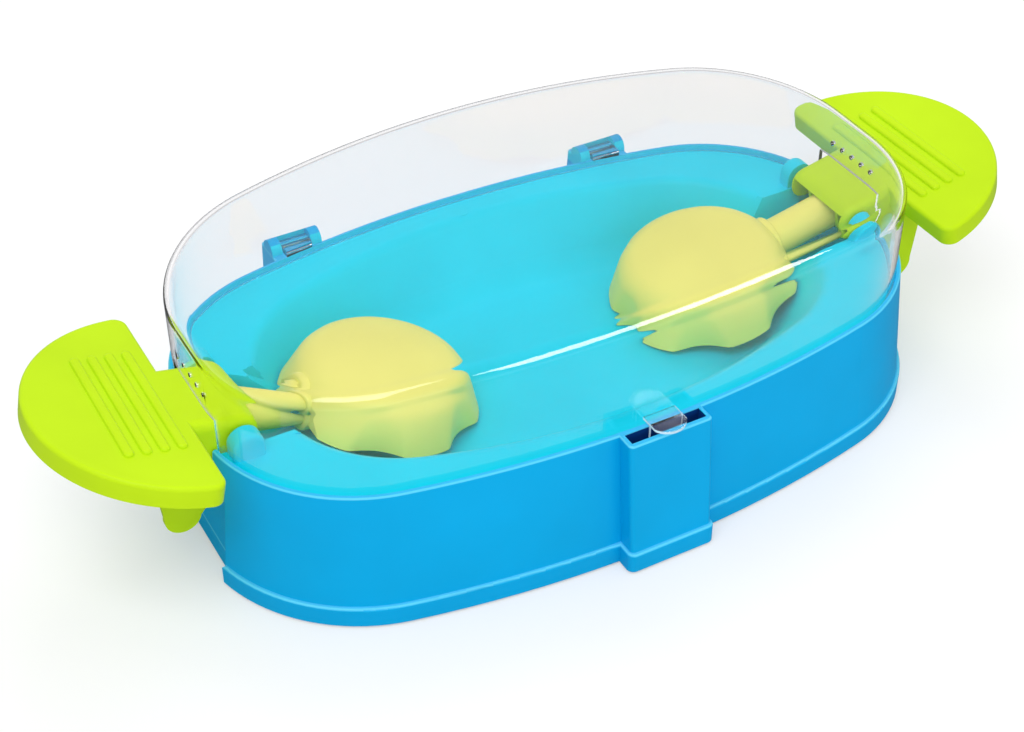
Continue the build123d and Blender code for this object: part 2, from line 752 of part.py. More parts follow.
def sole_screws():
    """Two countersunk screws that hold the sole to the paw's bosses."""
    seat = -paw_sole_drop + sole_wall / 2
    tip = -paw_sole_drop + sole_wall + bearing_screw_reach - screw_gap
    screws = []
    for x, y in boss_places():
        shank = rod_z(bearing_screw_radius, seat, tip, x, y)
        screws.append(shank + rod_z(bearing_screw_head_radius, -paw_sole_drop + run_gap, seat, x, y))
    return Compound(children=screws)


def pivot_pin():
    """Steel pin across the lever, carried by the two bearing blocks."""
    return rod_y(pin_radius, -pin_half, pin_half, 0, 0)


os.makedirs("parts", exist_ok=True)
pieces = {
    "base_shell": base_shell(),
    "treat_tray": treat_tray(),
    "bottom_plate": bottom_plate(),
    "rubber_feet": rubber_feet(),
    "bottom_screws": bottom_screws(),
    "bearing_screws": bearing_screws(),
    "hinge_pin_left": hinge_pin(-1),
    "hinge_pin_right": hinge_pin(1),
    "clear_cover": clear_cover(),
}
for name, x, y in bearing_places():
    pieces[name + "_bearing"] = bearing(x, y)

lever_pieces = {
    "paddle": paddle(),
    "paw_arm": arm(),
    "paw": paw(),
    "paw_sole": paw_sole(),
    "pivot_pin": pivot_pin(),
    "arm_screw": arm_screw(),
    "sole_screws": sole_screws(),
}
right_place = Pos(pivot_x, 0, pivot_height) * Rot(0, -rest_tilt, 0)
for side, place in (("right", right_place), ("left", Rot(0, 0, 180) * right_place)):
    for name, shape in lever_pieces.items():
        pieces[side + "_" + name] = place * shape

for name, shape in pieces.items():
    export_step(shape, "parts/" + name + ".step")
print("basin floor height", round(basin_floor, 2), "pieces", len(pieces))
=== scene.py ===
import math

import bmesh
import bpy
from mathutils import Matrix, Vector


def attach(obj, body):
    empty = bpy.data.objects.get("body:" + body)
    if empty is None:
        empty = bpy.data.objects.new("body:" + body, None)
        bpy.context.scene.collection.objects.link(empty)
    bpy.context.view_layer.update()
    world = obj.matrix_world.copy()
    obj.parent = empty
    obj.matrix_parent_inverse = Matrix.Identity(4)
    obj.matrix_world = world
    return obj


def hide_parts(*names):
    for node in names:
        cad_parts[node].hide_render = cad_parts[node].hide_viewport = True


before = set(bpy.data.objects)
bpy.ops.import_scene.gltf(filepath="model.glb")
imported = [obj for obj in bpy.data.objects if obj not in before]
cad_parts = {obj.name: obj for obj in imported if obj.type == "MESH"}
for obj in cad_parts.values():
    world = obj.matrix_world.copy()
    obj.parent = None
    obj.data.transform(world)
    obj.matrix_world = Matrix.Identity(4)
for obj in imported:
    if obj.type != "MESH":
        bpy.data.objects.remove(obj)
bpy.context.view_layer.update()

bl_info = {
    "name": "Dog Puzzle Toy",
    "version": (1, 0, 0),
    "blender": (4, 5, 0),
    "location": "3D View > Sidebar > Puzzle Toy",
    "description": "Dresses a seesaw treat puzzle: moulded base, tray, paddles, paws and a clear cover",
    "category": "Add Mesh",
}

SIDES = ("left", "right")
WHITE = (1, 1, 1, 1)
BLACK = (0, 0, 0, 1)

# Heights of the painted highlights along the base's moulded edges, at the plinth's top and at the rim: start,
# brightest and end, in metres
HIGHLIGHT_BANDS = ((0.0086, 0.0092, 0.0098), (0.0578, 0.0584, 0.0588))
BASE_HEIGHT = 0.064
# Pale colour of the painted highlights on the base's edges
PAINTED_HIGHLIGHT = (0.14, 0.72, 0.97)
# Above this height, faces of the base that look inwards take the tray's colour
LIP_FOOT = 0.0545
# Inside of the latch slot, as a box, and the navy of the painted shade in it, where little light reaches
SLOT_MIDDLE = (0.0, -0.0869, 0.052)
SLOT_HALF = (0.01605, 0.00275, 0.0063)
SLOT_PAINTED_SHADE = (0.003, 0.05, 0.26)

# Part of a noise texture's range that is spread over a change of colour or gloss
NOISE_SPAN = (0.3, 0.7)
# Moulded plastic: size of its flow marks, roughness below and above its mean, its fine grain's bump
FLOW_SCALE = 18.0
FLOW_DETAIL = 3.0
ROUGHNESS_BELOW, ROUGHNESS_ABOVE = 0.04, 0.06
GRAIN_DETAIL, GRAIN_ROUGHNESS = 2.0, 0.6
GRAIN_STRENGTH, GRAIN_HEIGHT = 0.08, 0.0001
# Clear plastic: refraction, gloss, haze, and the share of light that it lets through to what it covers
CLEAR_IOR, CLEAR_SPECULAR = 1.45, 0.16
HAZE_SCALE, HAZE_DETAIL = 60.0, 2.0
HAZE_ROUGHNESS = (0.005, 0.025)
CLEAR_PASSES = 0.98
# Plated steel: fine marks, how they shade the colour, and their roughness
MARK_SCALE, MARK_DETAIL = 900.0, 3.0
MARK_SHADES = (0.8, 1.1)
MARK_ROUGHNESS = (0.22, 0.42)

# Faces that meet at less than this are shaded as one
SMOOTH_ANGLE = math.radians(30)
# Sides of the round tools and bosses
ROD_SIDES, SOCKET_SIDES, BOSS_SIDES, HOLE_SIDES = 48, 64, 32, 24

# Steps of a paw's mesh: round it, up its wall, round its top edge; then the rings of its crown as shares
PAW_STEPS, PAW_WALL_STEPS, PAW_ROUND_STEPS = 160, 8, 8
PAW_CROWN_SHARES = (0.95, 0.82, 0.62, 0.36)
# Directions of the flutes from the paw's middle, from the pivot's side round
FLUTE_TURNS = tuple(math.radians(turn) for turn in (63.0, 124.0, 180.0, 236.0, 297.0))
# Pivot to the posts for the sole's screws
BOSS_REACHES = (0.064, 0.088)
COLLAR_ROUND_STEPS = 3

# Steps of the cover's mesh: along a cut-out, a corner and half a side, and round the top edge
CUT_STEPS, CORNER_STEPS, SIDE_STEPS, ROUND_STEPS = 3, 24, 16, 10
# Rings of the crown, as shares of the ring at the end of the top edge's round
CROWN_SHARES = (0.985, 0.93, 0.82, 0.66, 0.46, 0.22)
# Rings of the wall, as shares of the way from the cut-outs' top to the top edge's round
WALL_SHARES = (0.3, 0.65, 0.94)
SCENT_HOLES = 5
# Where a hinge lug starts inside the cover's back wall, as a share of the half width
LUG_ROOT_SHARE = 0.9145
# Steps of half the thumb lip's round
LIP_STEPS = 12
# Most that the normal of the lip's rim rises, least that the normal of the latch's side faces turns along X,
# for the faces that take the painted highlight
RIM_RISE, SIDE_TURN = 0.5, 0.9

FLOOR_SIZE = 12.0
# Distances from the middle between which the floor's glow grows
GLOW_REACH = (0.45, 2.0)
# Strength of the surroundings near the floor in reflections, and the heights between which it fades
HORIZON = 0.85
HORIZON_FADE = (0.02, 0.45)
# Place of each lamp, the point that it faces and its size
LAMPS = {
    "key_softbox": ((-0.5, -0.5, 1.3), (0, 0, 0.05), (0.9, 0.7)),
    "back_softbox": ((0.5, 0.7, 1.1), (0, 0, 0.05), (0.8, 0.5)),
    "front_softbox": ((0.15, -1.5, 0.5), (0, 0, 0.04), (1.6, 0.8)),
    "edge_softbox": ((0.75, -1.1, 1.15), (0, 0, 0.1), (1.5, 0.55)),
}
# Power of the back light, as a share of the key light's
BACK_SHARE = 0.45
SENSOR_WIDTH = 36.0


def hue(name, description, default):
    """A colour that the panel shows as a swatch."""
    return bpy.props.FloatVectorProperty(
        name=name, description=description, subtype="COLOR", min=0, max=1, default=default)


def length(name, description, default):
    """A length that the panel shows with its unit."""
    return bpy.props.FloatProperty(
        name=name, description=description, subtype="DISTANCE", unit="LENGTH", min=0, precision=5,
        default=default)


def place(name, description, default):
    """A point in the scene."""
    return bpy.props.FloatVectorProperty(
        name=name, description=description, subtype="XYZ_LENGTH", unit="LENGTH", default=default)


def strength(name, description, default, **limits):
    """A number that can't fall below nothing."""
    return bpy.props.FloatProperty(name=name, description=description, min=0, default=default, **limits)


class ToyColours(bpy.types.PropertyGroup):
    """Colours of the moulded plastics, the metal and the feet."""

    base_blue: hue("Base blue", "Outer wall, plinth and bottom plate", (0.0, 0.42, 0.82))
    tray_cyan: hue("Tray cyan", "Treat tray and bearing blocks", (0.0, 0.69, 0.87))
    paddle_lime: hue("Paddle lime", "Press plates with their hoods and tabs", (0.54, 0.81, 0.008))
    paw_yellow: hue("Paw yellow", "Paws and the arms that carry them", (0.88, 0.86, 0.21))
    cover_tint: hue("Cover tint", "Faint tint of the clear cover", (0.974, 0.968, 0.980))
    # Painted highlight: pale opaque colour on the clear lip's narrow faces, for the light that their edges
    # catch
    lip_edge_highlight: hue("Cut edge", "Pale narrow faces round the thumb lip", (0.55, 0.76, 0.88))
    pin_steel: hue("Pin steel", "Pins and screws", (0.56, 0.57, 0.58))
    foot_grey: hue("Foot grey", "Rubber feet", (0.04, 0.04, 0.045))


class ToyCover(bpy.types.PropertyGroup):
    """Sizes of the clear cover, the same as those of the solid that it stands for."""

    half_length: length("Half length", "Middle of the cover to its flat end", 0.148)
    half_width: length("Half width", "Middle of the cover to its long side", 0.082)
    side_radius: length("Side radius", "Bow of the long sides", 0.464)
    corner_radius: length("Corner radius", "Round corners in plan", 0.062)
    bottom: length("Bottom", "Height of the lower edge", 0.0564)
    top: length("Top", "Height of the crown's middle", 0.1059)
    crown_radius: length("Crown radius", "Bow of the top along the cover", 1.3596)
    edge_round: length("Edge round", "Round between the wall and the top", 0.007)
    wall: length("Wall", "Thickness of the plastic", 0.002)
    cutout_half: length("Cut-out half width", "Half width of the opening for each lever", 0.020)
    cutout_top: length("Cut-out top", "Height of the opening for each lever", 0.072)
    hole_radius: length("Scent hole radius", "Radius of the small holes over each lever", 0.0012)
    hole_pitch: length("Scent hole pitch", "Distance between two holes", 0.0064)
    hole_height: length("Scent hole height", "Height of the row of holes", 0.0785)
    lug_x: length("Lug place", "Middle of the cover to the middle of a hinge lug", 0.073)
    lug_half: length("Lug half width", "Half width of a hinge lug", 0.0061)
    lug_bottom: length("Lug bottom", "Height of the lug's underside", 0.0591)
    lug_radius: length("Lug radius", "Round end of a hinge lug", 0.0026)
    pin_y: length("Hinge pin place", "Middle of the cover to the hinge pins", 0.0831)
    pin_z: length("Hinge pin height", "Height of the hinge pins", 0.0593)
    pin_bore: length("Hinge pin bore", "Radius of the hole for a hinge pin", 0.00125)
    tongue_half: length("Tongue half width", "Half width of the latch tongue", 0.0068)
    tongue_wall: length("Tongue wall", "Thickness of the latch tongue", 0.0011)
    tongue_y: length("Tongue place", "Middle of the cover to the middle of the tongue", 0.0869)
    tongue_bottom: length("Tongue bottom", "Height of the tongue's lower end", 0.0507)
    flange_bottom: length("Flange bottom", "Height of the thumb lip's underside", 0.0609)
    flange_reach: length("Flange reach", "Middle of the cover to where the thumb lip's round starts", 0.09005)
    lip_reach: length("Lip reach", "How far the round of the thumb lip stands out", 0.0042)


class ToyPaw(bpy.types.PropertyGroup):
    """Sizes of a paw in its lever's own frame: the solid's, with a rounder shoulder and softer flutes."""

    reach: length("Reach", "Pivot to the middle of the paw", 0.0655)
    low_radius: length("Low radius", "Radius of the lower edge", 0.0390)
    high_radius: length("High radius", "Radius of the wall if it ran on to the top", 0.0298)
    bottom: length("Bottom", "Pivot down to the lower edge", 0.008)
    top: length("Top", "Pivot up to the middle of the crown", 0.013)
    crown_radius: length("Crown radius", "Bow of the top", 0.13633)
    edge_round: length("Edge round", "Round between the wall and the top", 0.012)
    wall: length("Wall", "Thickness of the plastic", 0.0024)
    hollow_radius: length("Hollow radius", "Radius of the hollow that the sole closes", 0.03163)
    hollow_high: length("Hollow high radius", "Radius of the hollow's wall if it ran on to its top", 0.0232)
    flute_depth: length("Flute depth", "Depth of a flute at the lower edge", 0.0042)
    flute_height: length("Flute height", "How far up a flute reaches", 0.015)
    flute_radius: length("Flute radius", "Round of a flute across its length", 0.015)
    flute_soft: length("Flute softness", "How softly a flute runs out", 0.0006)
    neck_reach: length("Neck reach", "Pivot to the paw's flat face", 0.031)
    collar_radius: length("Collar radius", "Round socket about the arm", 0.0104)
    collar_start: length("Collar start", "Pivot to the open end of the socket", 0.030)
    collar_end: length("Collar end", "Pivot to the closed end of the socket", 0.053)
    collar_round: length("Collar round", "Round on the socket's edges", 0.001)
    arm_radius: length("Socket radius", "Radius of the socket's bore", 0.00805)
    arm_reach: length("Socket depth", "Pivot to the bottom of the socket's bore", 0.050)
    arm_drop: length("Arm drop", "Pivot down to the middle of the arm", 0.0042)
    boss_radius: length("Boss radius", "Posts that take the sole's screws", 0.0034)
    pivot_x: length("Pivot place", "Middle of the toy to a pivot", 0.137)
    pivot_height: length("Pivot height", "Floor to the pivots", 0.0605)
    rest_tilt: bpy.props.FloatProperty(
        name="Rest tilt", description="How far a lever leans down to its paw at rest", subtype="ANGLE",
        default=math.radians(12.0))


class ToyStage(bpy.types.PropertyGroup):
    """Camera, lights, surroundings and floor."""

    eye: place("Eye", "Where the camera stands", (-0.29516, -0.50483, 0.49760))
    target: place("Target", "Point that the camera looks at", (-0.02034, -0.00826, 0.03888))
    lens: bpy.props.FloatProperty(
        name="Lens", description="Focal length on a 36 mm sensor", unit="CAMERA", min=1, default=64.97)
    key_power: strength("Key light", "Power of the large overhead light", 7.6, unit="POWER")
    front_power: strength("Front light", "Power of the low light on the front wall", 4.0, unit="POWER")
    streak_power: strength("Edge light", "Power of the light in the cover's gloss", 50.0, unit="POWER")
    sky: strength("Sky", "Strength of the even light from all sides", 0.68)
    mirror_sky: strength("Mirrored sky", "Strength of the surroundings in reflections", 0.42)
    floor_grey: strength("Floor grey", "How much light the floor throws back", 0.64, max=1)
    floor_mirrored: strength("Floor in gloss", "The same, as reflections show it", 0.2, max=1)
    floor_glow: strength("Floor glow", "How much the floor is lifted towards white", 0.36)
    far_glow: strength("Far floor glow", "The same, away from the lamps", 0.6)


class Tree:
    """Small helper that wires up the nodes of a material or a world."""

    def __init__(self, owner, output="ShaderNodeOutputMaterial"):
        owner.use_nodes = True
        self.owner = owner
        self.nodes = owner.node_tree.nodes
        self.nodes.clear()
        self.output = self.add(output)

    def add(self, kind, **values):
        """New node with some of its settings."""
        node = self.nodes.new(kind)
        for key, value in values.items():
            setattr(node, key, value)
        return node

    def feed(self, socket, source):
        """Gives an input a value or another node's output."""
        if isinstance(source, bpy.types.NodeSocket):
            self.owner.node_tree.links.new(source, socket)
        else:
            socket.default_value = source

    def put(self, node, **sources):
        """Feeds inputs by their names."""
        for key, source in sources.items():
            self.feed(node.inputs[key.replace("_", " ")], source)
        return node

    def join(self, node, *sources):
        """Feeds inputs by their order, where names repeat."""
        for socket, source in zip(node.inputs, sources):
            self.feed(socket, source)
        return node

    def coords(self):
        """Outputs of the texture coordinates."""
        return self.add("ShaderNodeTexCoord").outputs

    def rays(self):
        """Outputs that tell a ray's kind."""
        return self.add("ShaderNodeLightPath").outputs

    def math(self, operation, *sources, clamp=False):
        """Output of one step of arithmetic."""
        node = self.add("ShaderNodeMath", operation=operation, use_clamp=clamp)
        return self.join(node, *sources).outputs["Value"]

    def vector(self, operation, *sources):
        """Number that one step of vector arithmetic gives."""
        return self.join(self.add("ShaderNodeVectorMath", operation=operation), *sources).outputs["Value"]

    def noise(self, coords, scale, detail, roughness=0.5):
        """Noise in the object's own coordinates."""
        node = self.put(self.add("ShaderNodeTexNoise"), Vector=coords["Object"], Scale=scale, Detail=detail,
                        Roughness=roughness)
        return node.outputs["Fac"]

    def spread(self, value, span, low, high):
        """Output that goes from low to high while a value crosses its span."""
        node = self.put(self.add("ShaderNodeMapRange"), Value=value, From_Min=span[0], From_Max=span[1],
                        To_Min=low, To_Max=high)
        return node.outputs["Result"]

    def switch(self, value, off, on):
        """One of two strengths, chosen by a ray's kind."""
        return self.spread(value, (0.0, 1.0), off, on)

    def ramp(self, value, span, low, high):
        """Colour that goes from one to another while a value crosses its span."""
        node = self.put(self.add("ShaderNodeValToRGB"), Fac=value)
        for stop, position, colour in zip(node.color_ramp.elements, span, (low, high)):
            stop.position, stop.color = position, rgba(colour)
        return node.outputs["Color"]

    def finish(self, surface):
        """Sends a shader to the output and gives back the material or world."""
        self.feed(self.output.inputs["Surface"], surface)
        return self.owner


def rgba(colour):
    """The colour with full opacity."""
    return (*colour, 1.0)


def shade(colour, factor):
    """The same colour, lighter or darker."""
    return tuple(min(1.0, part * factor) for part in colour)


def blend_colour(tree, amount, colour, other):
    """A colour output mixed towards a plain colour."""
    mix = tree.put(tree.add("ShaderNodeMixRGB"), Fac=amount, Color1=colour, Color2=rgba(other))
    return mix.outputs["Color"]


def paint_edge_highlights(tree, height, colour):
    """Paints highlights: mixes a colour towards pale where the height falls in a moulded edge, for the light
    that the edge catches.
    """
    ramp = tree.add("ShaderNodeValToRGB")
    tree.put(ramp, Fac=tree.spread(height, (0.0, BASE_HEIGHT), 0.0, 1.0))
    stops = ramp.color_ramp.elements
    stops[0].color = stops[1].color = BLACK
    for band in HIGHLIGHT_BANDS:
        for level, tone in zip(band, (BLACK, WHITE, BLACK)):
            stops.new(level / BASE_HEIGHT).color = tone
    return blend_colour(tree, ramp.outputs["Color"], colour, PAINTED_HIGHLIGHT)


def inner_lip(tree, coords, height, colour, other):
    """Gives the faces of the lip that look inwards another colour."""
    inwards = tree.math("LESS_THAN", tree.vector("DOT_PRODUCT", coords["Object"], coords["Normal"]), 0.0)
    high = tree.math("GREATER_THAN", height, LIP_FOOT)
    return blend_colour(tree, tree.math("MULTIPLY", inwards, high), colour, other)


def paint_slot_shade(tree, split, colour):
    """Paints shade on the inside of the latch slot: navy, since little light reaches it."""
    inside = 1.0
    for axis, middle, half in zip("XYZ", SLOT_MIDDLE, SLOT_HALF):
        inside = tree.math("MULTIPLY", inside, tree.math("COMPARE", split[axis], middle, half))
    return blend_colour(tree, inside, colour, SLOT_PAINTED_SHADE)


def moulded_plastic(name, colour, roughness=0.34, specular=0.12, spread=0.05, grain=0.00035, inside=None):
    """Injection-moulded plastic: faint flow mottling, a fine spark texture and uneven gloss.

    With a colour for the inside it is the base's: painted highlights along its edges, painted shade in the
    latch slot, and that colour inside its lip.
    """
    tree = Tree(bpy.data.materials.new(name))
    coords = tree.coords()
    flow = tree.noise(coords, FLOW_SCALE, FLOW_DETAIL)
    paint = tree.ramp(flow, NOISE_SPAN, shade(colour, 1 - spread), shade(colour, 1 + spread))
    if inside is not None:
        split = tree.put(tree.add("ShaderNodeSeparateXYZ"), Vector=coords["Object"]).outputs
        # Painted highlights along the plinth's top and the rim
        paint = paint_edge_highlights(tree, split["Z"], paint)
        paint = inner_lip(tree, coords, split["Z"], paint, inside)
        # Painted shade: the latch slot's inside darkened to navy
        paint = paint_slot_shade(tree, split, paint)
    fine = tree.noise(coords, 1.0 / grain, GRAIN_DETAIL, GRAIN_ROUGHNESS)
    gloss = tree.spread(fine, NOISE_SPAN, roughness - ROUGHNESS_BELOW, roughness + ROUGHNESS_ABOVE)
    bump = tree.put(tree.add("ShaderNodeBump"), Strength=GRAIN_STRENGTH, Distance=GRAIN_HEIGHT, Height=fine)
    shader = tree.put(tree.add("ShaderNodeBsdfPrincipled"), Base_Color=paint, Roughness=gloss,
                      Specular_IOR_Level=specular, Normal=bump.outputs["Normal"])
    return tree.finish(shader.outputs["BSDF"])


def clear_plastic(name, tint):
    """Clear moulded cover: sharp gloss and faint haze, with the light on what it covers let through."""
    tree = Tree(bpy.data.materials.new(name))
    haze = tree.noise(tree.coords(), HAZE_SCALE, HAZE_DETAIL)
    shader = tree.put(tree.add("ShaderNodeBsdfPrincipled"), Base_Color=rgba(tint), IOR=CLEAR_IOR,
                      Specular_IOR_Level=CLEAR_SPECULAR, Transmission_Weight=1.0,
                      Roughness=tree.spread(haze, NOISE_SPAN, *HAZE_ROUGHNESS))
    through = tree.put(tree.add("ShaderNodeBsdfTransparent"), Color=rgba(shade(tint, CLEAR_PASSES)))
    rays = tree.rays()
    lighting = tree.math("MAXIMUM", rays["Is Shadow Ray"], rays["Is Diffuse Ray"])
    both = shader.outputs["BSDF"], through.outputs["BSDF"]
    mix = tree.join(tree.add("ShaderNodeMixShader"), lighting, *both)
    return tree.finish(mix.outputs["Shader"])


def plated_steel(name, colour):
    """Plain plated steel with fine marks."""
    tree = Tree(bpy.data.materials.new(name))
    marks = tree.noise(tree.coords(), MARK_SCALE, MARK_DETAIL)
    tones = [shade(colour, factor) for factor in MARK_SHADES]
    shader = tree.put(tree.add("ShaderNodeBsdfPrincipled"), Metallic=1.0,
                      Base_Color=tree.ramp(marks, (0.0, 1.0), *tones),
                      Roughness=tree.spread(marks, (0.0, 1.0), *MARK_ROUGHNESS))
    return tree.finish(shader.outputs["BSDF"])


def pale_floor(stage):
    """Plain floor that the camera sees lifted towards white, and more so away from the lamps."""
    tree = Tree(bpy.data.materials.new("pale_floor"))
    rays = tree.rays()
    away = tree.vector("LENGTH", tree.coords()["Object"])
    lift = tree.spread(away, GLOW_REACH, stage.floor_glow, stage.far_glow)
    seen = tree.math("MAXIMUM", rays["Is Camera Ray"], rays["Is Transmission Ray"])
    glow = tree.put(tree.add("ShaderNodeEmission"), Color=WHITE, Strength=tree.switch(seen, 0.0, lift))
    mirrored = tree.math("SUBTRACT", rays["Is Glossy Ray"], rays["Is Transmission Ray"], clamp=True)
    grey = tree.switch(mirrored, stage.floor_grey, stage.floor_mirrored)
    paper = tree.put(tree.add("ShaderNodeBsdfDiffuse"), Color=grey)
    both = tree.join(tree.add("ShaderNodeAddShader"), paper.outputs["BSDF"], glow.outputs["Emission"])
    return tree.finish(both.outputs["Shader"])


def white_surroundings(world, stage):
    """White to the camera, even light on the toy, and a dome that is dimmer overhead in reflections."""
    tree = Tree(world, "ShaderNodeOutputWorld")
    split = tree.put(tree.add("ShaderNodeSeparateXYZ"), Vector=tree.coords()["Generated"])
    dome = tree.spread(split.outputs["Z"], HORIZON_FADE, HORIZON, stage.mirror_sky)
    rays = tree.rays()
    mirrored = tree.math("MAXIMUM", rays["Is Glossy Ray"], rays["Is Transmission Ray"])
    level = tree.switch(rays["Is Camera Ray"], tree.switch(mirrored, stage.sky, dome), 1.0)
    back = tree.put(tree.add("ShaderNodeBackground"), Color=WHITE, Strength=level)
    return tree.finish(back.outputs["Background"])


def dress(nodes, material):
    """Gives CAD nodes a material in every slot."""
    for name in nodes:
        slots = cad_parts[name].data.materials
        if not slots:
            slots.append(material)
        for index in range(len(slots)):
            slots[index] = material


def polygon(name, points):
    """Ring of edges through the points, from a circle, left in edit mode with all of it selected."""
    bpy.ops.object.select_all(action="DESELECT")
    bpy.ops.mesh.primitive_circle_add(vertices=len(points), radius=1.0)
    piece = bpy.context.object
    piece.name = name
    for vertex, point in zip(piece.data.vertices, points):
        vertex.co = point
    bpy.ops.object.mode_set(mode="EDIT")
    bpy.ops.mesh.select_all(action="SELECT")
    return piece


def raise_ring(piece, ring, before):
    """Extrudes the selected ring of edges and puts the new ring at its points."""
    bpy.ops.mesh.extrude_edges_move()
    sheet = bmesh.from_edit_mesh(piece.data)
    after = {}
    for vertex in [v for v in sheet.verts if v.select]:
        old = next(e.other_vert(vertex) for e in vertex.link_edges if not e.other_vert(vertex).select)
        after[vertex.index] = before[old.index]
        vertex.co = ring[before[old.index]]
    bmesh.update_edit_mesh(piece.data)
    return after


def ring_wall(name, rings):
    """Wall through rings of points, left in edit mode with its last ring selected."""
    piece = polygon(name, rings[0])
    order = {index: index for index in range(len(rings[0]))}
    for ring in rings[1:]:
        order = raise_ring(piece, ring, order)
    return piece


def face_outwards():
    """Turns all the faces of the mesh in edit mode outwards."""
    bpy.ops.mesh.select_all(action="SELECT")
    bpy.ops.mesh.normals_make_consistent(inside=False)


def settle(name):
    """Names the active object and puts its place, turn and scale into its mesh."""
    piece = bpy.context.object
    piece.name = name
    bpy.ops.object.transform_apply(location=True, rotation=True, scale=True)
    return piece


def rod(name, radius, start, end, y, z, sides=ROD_SIDES):
    """Round rod along X."""
    bpy.ops.object.select_all(action="DESELECT")
    bpy.ops.mesh.primitive_cylinder_add(
        vertices=sides, radius=radius, depth=end - start, location=((start + end) / 2, y, z),
        rotation=(0, math.pi / 2, 0))
    return settle(name)


def post(name, radius, x, low, high):
    """Upright round post."""
    bpy.ops.object.select_all(action="DESELECT")
    bpy.ops.mesh.primitive_cylinder_add(
        vertices=BOSS_SIDES, radius=radius, depth=high - low, location=(x, 0, (high + low) / 2))
    return settle(name)


def slab(name, low, high):
    """Box between two corners."""
    bpy.ops.object.select_all(action="DESELECT")
    middle = [(a + b) / 2 for a, b in zip(low, high)]
    bpy.ops.mesh.primitive_cube_add(size=1.0, location=middle)
    bpy.context.object.scale = [b - a for a, b in zip(low, high)]
    return settle(name)


def pick(piece):
    """Makes a piece the only one that is selected, and the active one."""
    bpy.ops.object.select_all(action="DESELECT")
    piece.select_set(True)
    bpy.context.view_layer.objects.active = piece


def combine(piece, tool, operation):
    """Joins a tool to a piece or cuts the piece with it, and removes the tool."""
    modifier = piece.modifiers.new(operation, "BOOLEAN")
    modifier.operation = operation
    modifier.solver = "EXACT"
    modifier.object = tool
    pick(piece)
    bpy.ops.object.modifier_apply(modifier=modifier.name)
    bpy.data.objects.remove(tool, do_unlink=True)


def bun_profile(low, high, bottom, top, ball, rounding):
    """Points up a leaning wall, round its top edge and over the crown, with X as the radius."""
    foot = Vector((low, 0, bottom))
    along = (Vector((high, 0, top)) - foot).normalized()
    inward = Vector((-along.z, 0, along.x))
    middle = Vector((0, 0, top - ball))
    gap = foot + rounding * inward - middle
    half = gap.dot(along)
    run = math.sqrt(half ** 2 - gap.length_squared + (ball - rounding) ** 2) - half
    hub = middle + gap + run * along
    points = [foot + along * run * step / PAW_WALL_STEPS for step in range(PAW_WALL_STEPS)]
    for step in range(PAW_ROUND_STEPS + 1):
        points.append(hub + rounding * (-inward).slerp((hub - middle).normalized(), step / PAW_ROUND_STEPS))
    edge = points[-1].x
    for share in PAW_CROWN_SHARES:
        points.append(Vector((edge * share, 0, middle.z + math.sqrt(ball ** 2 - (edge * share) ** 2))))
    return points


def flute_cut(paw, turn, point):
    """Depth of the flutes at a place on the paw's wall: each runs out softly towards the shoulder."""
    cut = 0.0
    for flute in FLUTE_TURNS:
        across = point.x * math.remainder(turn - flute, math.tau)
        left = 1 - (point.z + paw.bottom) / paw.flute_height
        depth = paw.flute_depth * left - across ** 2 / (2 * paw.flute_radius)
        cut += (depth + math.hypot(depth, paw.flute_soft)) / 2
    return cut * (point.x / paw.low_radius) ** 2


def bun(name, paw, profile, fluted):
    """Closed round body from a profile, with or without flutes."""
    rings = []
    for point in profile:
        ring = []
        for step in range(PAW_STEPS):
            turn = math.tau * step / PAW_STEPS
            radius = point.x - (flute_cut(paw, turn, point) if fluted else 0.0)
            ring.append(Vector((radius * math.cos(turn) - paw.reach, radius * math.sin(turn), point.z)))
        rings.append(ring)
    body = ring_wall(name, rings)
    bpy.ops.mesh.edge_face_add()
    bpy.ops.mesh.select_all(action="DESELECT")
    bpy.ops.mesh.select_non_manifold()
    bpy.ops.mesh.edge_face_add()
    face_outwards()
    bpy.ops.object.mode_set(mode="OBJECT")
    return body


def paw_body(paw):
    """Bun-shaped shell with lobes between its flutes and a socket for the arm, in the lever's frame."""
    outer = bun_profile(paw.low_radius, paw.high_radius, -paw.bottom, paw.top, paw.crown_radius,
                        paw.edge_round)
    body = bun("paw_moulding", paw, outer, True)
    wide = 2 * paw.low_radius
    combine(body, slab("neck_cut", (-paw.neck_reach, -wide, -wide), (wide, wide, wide)), "DIFFERENCE")
    sole_top, ceiling = paw.wall - paw.bottom, paw.top - paw.wall
    inner = bun_profile(paw.hollow_radius, paw.hollow_high, sole_top, ceiling, paw.crown_radius - paw.wall,
                        paw.edge_round)
    inner.insert(0, Vector((paw.hollow_radius, 0, -wide)))
    combine(body, bun("hollow", paw, inner, False), "DIFFERENCE")
    for reach in BOSS_REACHES:
        combine(body, post("boss", paw.boss_radius, -reach, sole_top, ceiling), "UNION")
    axis = 0, -paw.arm_drop
    collar = rod("collar", paw.collar_radius, -paw.collar_end, -paw.collar_start, *axis, SOCKET_SIDES)
    rounding = collar.modifiers.new("round", "BEVEL")
    rounding.width, rounding.segments = paw.collar_round, COLLAR_ROUND_STEPS
    bpy.ops.object.modifier_apply(modifier=rounding.name)
    combine(body, collar, "UNION")
    combine(body, rod("bore", paw.arm_radius, -paw.arm_reach, wide, *axis, SOCKET_SIDES), "DIFFERENCE")
    bpy.ops.object.shade_smooth_by_angle(angle=SMOOTH_ANGLE)
    return body


